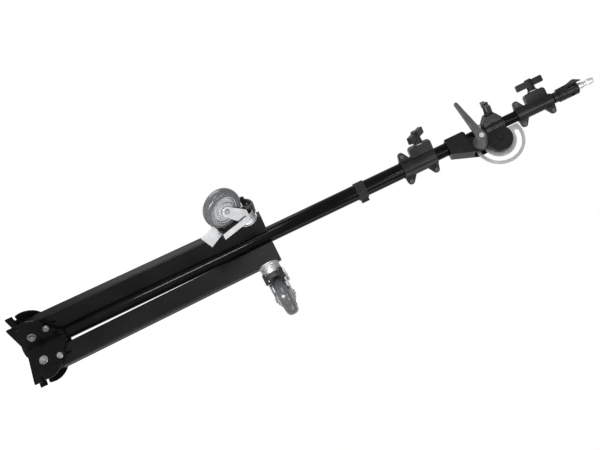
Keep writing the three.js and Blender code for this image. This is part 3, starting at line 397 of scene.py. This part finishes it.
# %% Forks, races, pedals and shoes
race_profile = softened([[0.0, -4.5], [6.0, -4.5], [6.0, 0.3], [27.0, 0.3], [27.0, 3.3],
                         [24.2, 3.3], [21.4, 9.0], [6.0, 9.0], [6.0, 15.3], [10.0, 15.3],
                         [8.5, 18.8], [0.0, 18.8]], 0.5, 4)
for number in (1, 2, 3):
    swivel = joints[f"caster_{number}_swivel"]
    seat = axes(swivel["pos_m"], swivel["axis"], up)
    finish_piece(revolved(f"race_{number}", race_profile, seat, 96), f"caster_race_{number}",
                 finish=caster_zinc)
    dressed(f"caster_fork_{number}", 0.5, finish=caster_zinc)
    dressed(f"caster_pedal_{number}", 0.5, finish=caster_zinc)
    dressed(f"caster_shoe_{number}", 0.5)
    dressed(f"caster_axle_{number}", 0.5, finish=dull_zinc)

# %% [markdown]
# ## Clamps, head and tip
# These are castings: every edge has a cast radius, larger on the hand knobs.

# %% Castings
for node in ("column_band", "column_clamp", "boom_clamp"):
    dressed(node, 0.9)
for node in ("column_clamp_knob", "boom_clamp_knob", "collar_knob"):
    dressed(node, 1.3, 3)
dressed("tilt_yoke", 1.2, 3)
dressed("boom_collar", 0.5)
dressed("tilt_bolt", 0.6)
dressed("tilt_clamp_stud", 0.5)
dressed("tilt_sector", 0.5, finish=caster_zinc)
dressed("tilt_lever", 1.8, 3)
dressed("stud_socket", 0.4)
dressed("stud_latch", 0.7)

# %% [markdown]
# The clamps' lugs hold cap screws with a round socket in the head. A zinc washer lies under each
# clamp's knob, and the guide band is knurled between its rims, so that a hand can turn it. Three
# raised rings stand on the boom's collar.

# %% Screws, washers and the knurled band
def cap_screw(name, place, radius, carrier):
    """Head of a screw: a low cylinder with a softened rim, and a recess two fifths as wide."""
    rise = 0.55 * radius
    head = softened([[0.0, 0.3 * rise], [0.38 * radius, 0.3 * rise], [0.42 * radius, rise],
                     [0.9 * radius, rise], [radius, 0.7 * rise], [radius, -rise], [0.0, -rise]],
                    0.12 * radius, 3)
    extra_piece(revolved(name, head, place, 32), carrier, dark_steel)


lug_out = 10.5
lug_up = 10.5
lug_half = 6.0
screw_radius = 4.9
clamps = {                  # radius of the barrel, scale, and the joint of its knob
    "column_clamp": (23.3, 1.05, "column_knob_turn"),
    "boom_clamp": (16.9, 0.95, "boom_knob_turn"),
}
for node, (barrel, scale, knob_joint) in clamps.items():
    low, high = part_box(node)
    outward = Vector(joints[knob_joint]["axis"])
    sideways = up.cross(outward)
    reach = (barrel + lug_out * scale) * MM
    foot = low[2] + lug_up * scale * MM
    top = high[2] - lug_up * scale * MM
    for lug, (turn, height) in enumerate(((1, foot), (-1, foot), (-1, top)), 1):
        for side in (1, -1):
            face = outward * reach * turn + sideways * side * lug_half * scale * MM + up * height
            cap_screw(f"{node}_screw_{lug}_{'a' if side > 0 else 'b'}",
                      axes(face, sideways * side, up), screw_radius * scale, node)

washer = softened([[9.0, 0.2], [13.6, 0.2], [13.6, 2.6], [9.0, 2.6]], 0.4, 3)
knobs = {                   # the knob's joint, and how far out its boss ends
    "column_clamp_knob": ("column_knob_turn", 45.3),
    "boom_clamp_knob": ("boom_knob_turn", 38.9),
}
for node, (knob_joint, boss_reach) in knobs.items():
    outward = Vector(joints[knob_joint]["axis"])
    seat = Vector(joints[knob_joint]["pos_m"]) + outward * boss_reach * MM
    extra_piece(revolved(node + "_washer", washer, axes(seat, outward, up), 64), node, dull_zinc)

band_low, band_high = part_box("column_band")
rim = 3.2 * MM
knurl_inner = 20.9
knurl_outer = 22.5
knurl_foot = (band_low[2] + rim) / MM
knurl_top = (band_high[2] - rim) / MM
knurl = [[knurl_inner, knurl_foot], [knurl_outer, knurl_foot],
         [knurl_outer, knurl_top], [knurl_inner, knurl_top]]
knurl_ribs = 42
knurl_depth = 0.35
extra_piece(revolved("band_knurl", knurl, upright, 8 * knurl_ribs, knurl_ribs, knurl_depth),
            "column_band", finishes["cast_black"])

# %% Raised rings on the boom collar
collar_low, collar_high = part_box("boom_collar")
collar_length = (collar_high[2] - collar_low[2]) / MM
ring_profile = softened([[19.4, -2.2], [21.0, -2.2], [21.0, 2.2], [19.4, 2.2]], 0.7, 4)
ring_shares = (0.12, 0.53, 0.9)     # of the collar's length, from its foot
for number, share in enumerate(ring_shares, 1):
    ring_at = Matrix.Translation(up * (collar_low[2] + share * collar_length * MM))
    extra_piece(revolved(f"collar_ring_{number}", ring_profile, ring_at, 96), "boom_collar",
                finishes["cast_black"])

# %% Stud
stud_profile = [[0.0, 1501.0], [8.0, 1501.0], [8.0, 1546.0], [6.25, 1549.0], [6.25, 1556.0],
                [8.0, 1559.0], [8.0, 1571.0], [6.5, 1571.0], [6.5, 1575.5], [5.0, 1577.0],
                [0.0, 1577.0]]
finish_piece(revolved("tip_stud_piece", softened(stud_profile, 0.5, 4), upright), "tip_stud")

# %% Nodes that keep their own mesh
for node in ("column_mouth_bush", "column_foot_cap", "riser_foot_bush"):
    mesh = frame["nodes"][node].data
    mesh.materials.clear()
    mesh.materials.append(finishes[slot_of[node]])

# %% [markdown]
# ## Stage, light and camera
# The photograph shows the stand lying across a white ground, seen from its side. So the camera
# is rolled, and the model stays upright. The pale floor lies where the wheels stand once the legs
# are unfolded.

# %% Floor and world
def any_of(tree, sockets):
    """1 where a ray is of one of the kinds in the list."""
    total = sockets[0]
    for socket in sockets[1:]:
        either = tree.nodes.new("ShaderNodeMath")
        either.operation = "MAXIMUM"
        tree.links.new(total, either.inputs[0])
        tree.links.new(socket, either.inputs[1])
        total = either.outputs[0]
    return total


def seen_rays(tree):
    """Camera, glossy and transmitted rays, which see the white ground."""
    path = tree.nodes.new("ShaderNodeLightPath")
    return any_of(tree, [path.outputs[kind] for kind in
                         ("Is Camera Ray", "Is Glossy Ray", "Is Transmission Ray")])


fold = joints["leg_1_fold"]
opened = Matrix.Rotation(math.radians(fold["range_deg"][1]), 3, Vector(fold["axis"]))
wheel_arm = Vector(joints["wheel_1_roll"]["pos_m"]) - Vector(fold["pos_m"])
ground = fold["pos_m"][2] + (opened @ wheel_arm).z - wheel_radius * MM
print("floor at", round(ground, 4))
floor_reach = 12.0
floor_mesh = bpy.data.meshes.new("floor")
floor_mesh.from_pydata([(-floor_reach, -floor_reach, ground), (floor_reach, -floor_reach, ground),
                        (floor_reach, floor_reach, ground), (-floor_reach, floor_reach, ground)],
                       [], [(0, 1, 2, 3)])
floor = new_object("floor", floor_mesh)
floor_finish = Finish("pale_floor", Base_Color=(0.9, 0.9, 0.9, 1.0), Roughness=0.9,
                      Specular_IOR_Level=0.1)
glow_share = 0.8            # of the floor's white that is its own light, for rays that see it
glow_strength = 1.2
glow = floor_finish.nodes.new("ShaderNodeEmission")
glow.inputs["Strength"].default_value = glow_strength
blend = floor_finish.nodes.new("ShaderNodeMixShader")
white = Value(floor_finish, seen_rays(floor_finish.material.node_tree))
floor_finish.links.new((white * glow_share).socket, blend.inputs[0])
floor_finish.links.new(floor_finish.shader.outputs[0], blend.inputs[1])
floor_finish.links.new(glow.outputs[0], blend.inputs[2])
floor_finish.links.new(blend.outputs[0], floor_finish.nodes["Material Output"].inputs["Surface"])
floor_mesh.materials.append(floor_finish.material)

world = bpy.data.worlds.new("pale studio")
bpy.context.scene.world = world
world.use_nodes = True
sky = world.node_tree
background = sky.nodes["Background"]
background.inputs["Color"].default_value = (1.0, 1.0, 1.0, 1.0)
lighting_level = 0.45       # of the sky, as a lamp
seen_level = 1.0            # of the sky, as it is seen
level = sky.nodes.new("ShaderNodeMapRange")
level.inputs["To Min"].default_value = lighting_level
level.inputs["To Max"].default_value = seen_level
sky.links.new(seen_rays(sky), level.inputs["Value"])
sky.links.new(level.outputs["Result"], background.inputs["Strength"])

# %% Camera
def direction(azimuth):
    return Vector((math.cos(math.radians(azimuth)), math.sin(math.radians(azimuth)), 0.0))


camera_azimuth = -70.5
camera_out = 2.3727         # metres from the column, then sideways, then up
camera_aside = 0.0125
camera_height = 0.6424
roll_cos = 0.9022           # of the roll of 25.6 degrees that lays the stand across the picture
roll_sin = 0.4314
focal_pixels = 950.0
image_width = 600.0
towards_camera = direction(camera_azimuth)
across = direction(camera_azimuth + 90.0)
tilt = math.radians(2.5)
look = -towards_camera * math.cos(tilt) + up * math.sin(tilt)
along = up * math.cos(tilt) + towards_camera * math.sin(tilt)
image_right = roll_cos * along + roll_sin * across
image_up = roll_sin * along - roll_cos * across
lens = bpy.data.cameras.new("photo_camera")
lens.sensor_width = 36.0
lens.lens = focal_pixels / image_width * lens.sensor_width
lens.clip_end = 50.0
camera = bpy.data.objects.new("photo_camera", lens)
bpy.context.scene.collection.objects.link(camera)
pose = Matrix((image_right, image_up, -look)).transposed().to_4x4()
pose.translation = towards_camera * camera_out + across * camera_aside + up * camera_height
camera.matrix_world = pose
bpy.context.scene.camera = camera

# %% Lights
def area_light(name, azimuth, distance, height, size, radiance):
    """Panel of (tall, wide) metres at an azimuth, a distance and a height, facing the column.

    The power that gives a radiance is the radiance times pi times the area.
    """
    lamp = bpy.data.lights.new(name, "AREA")
    lamp.shape = "RECTANGLE"
    lamp.size, lamp.size_y = size
    lamp.energy = radiance * math.pi * size[0] * size[1]
    lit = bpy.data.objects.new(name, lamp)
    bpy.context.scene.collection.objects.link(lit)
    out = direction(azimuth)
    lit.matrix_world = axes(out * distance + up * height, out, up)
    lit.visible_camera = False


area_light("column_strip", camera_azimuth, 1.0, 0.32, (0.6, 0.1), 110.0)
area_light("leg_panel", -110.0, 1.6, 0.72, (0.34, 0.8), 12.0)
area_light("left_panel", -170.0, 1.6, 0.5, (1.0, 0.6), 7.0)
area_light("right_panel", 10.0, 1.6, 1.2, (0.9, 0.8), 5.0)
area_light("head_panel", -47.0, 1.8, 1.95, (1.0, 0.4), 15.0)
area_light("boom_strip", -72.0, 1.0, 1.52, (0.14, 0.07), 90.0)

bpy.context.scene.view_settings.view_transform = "Standard"
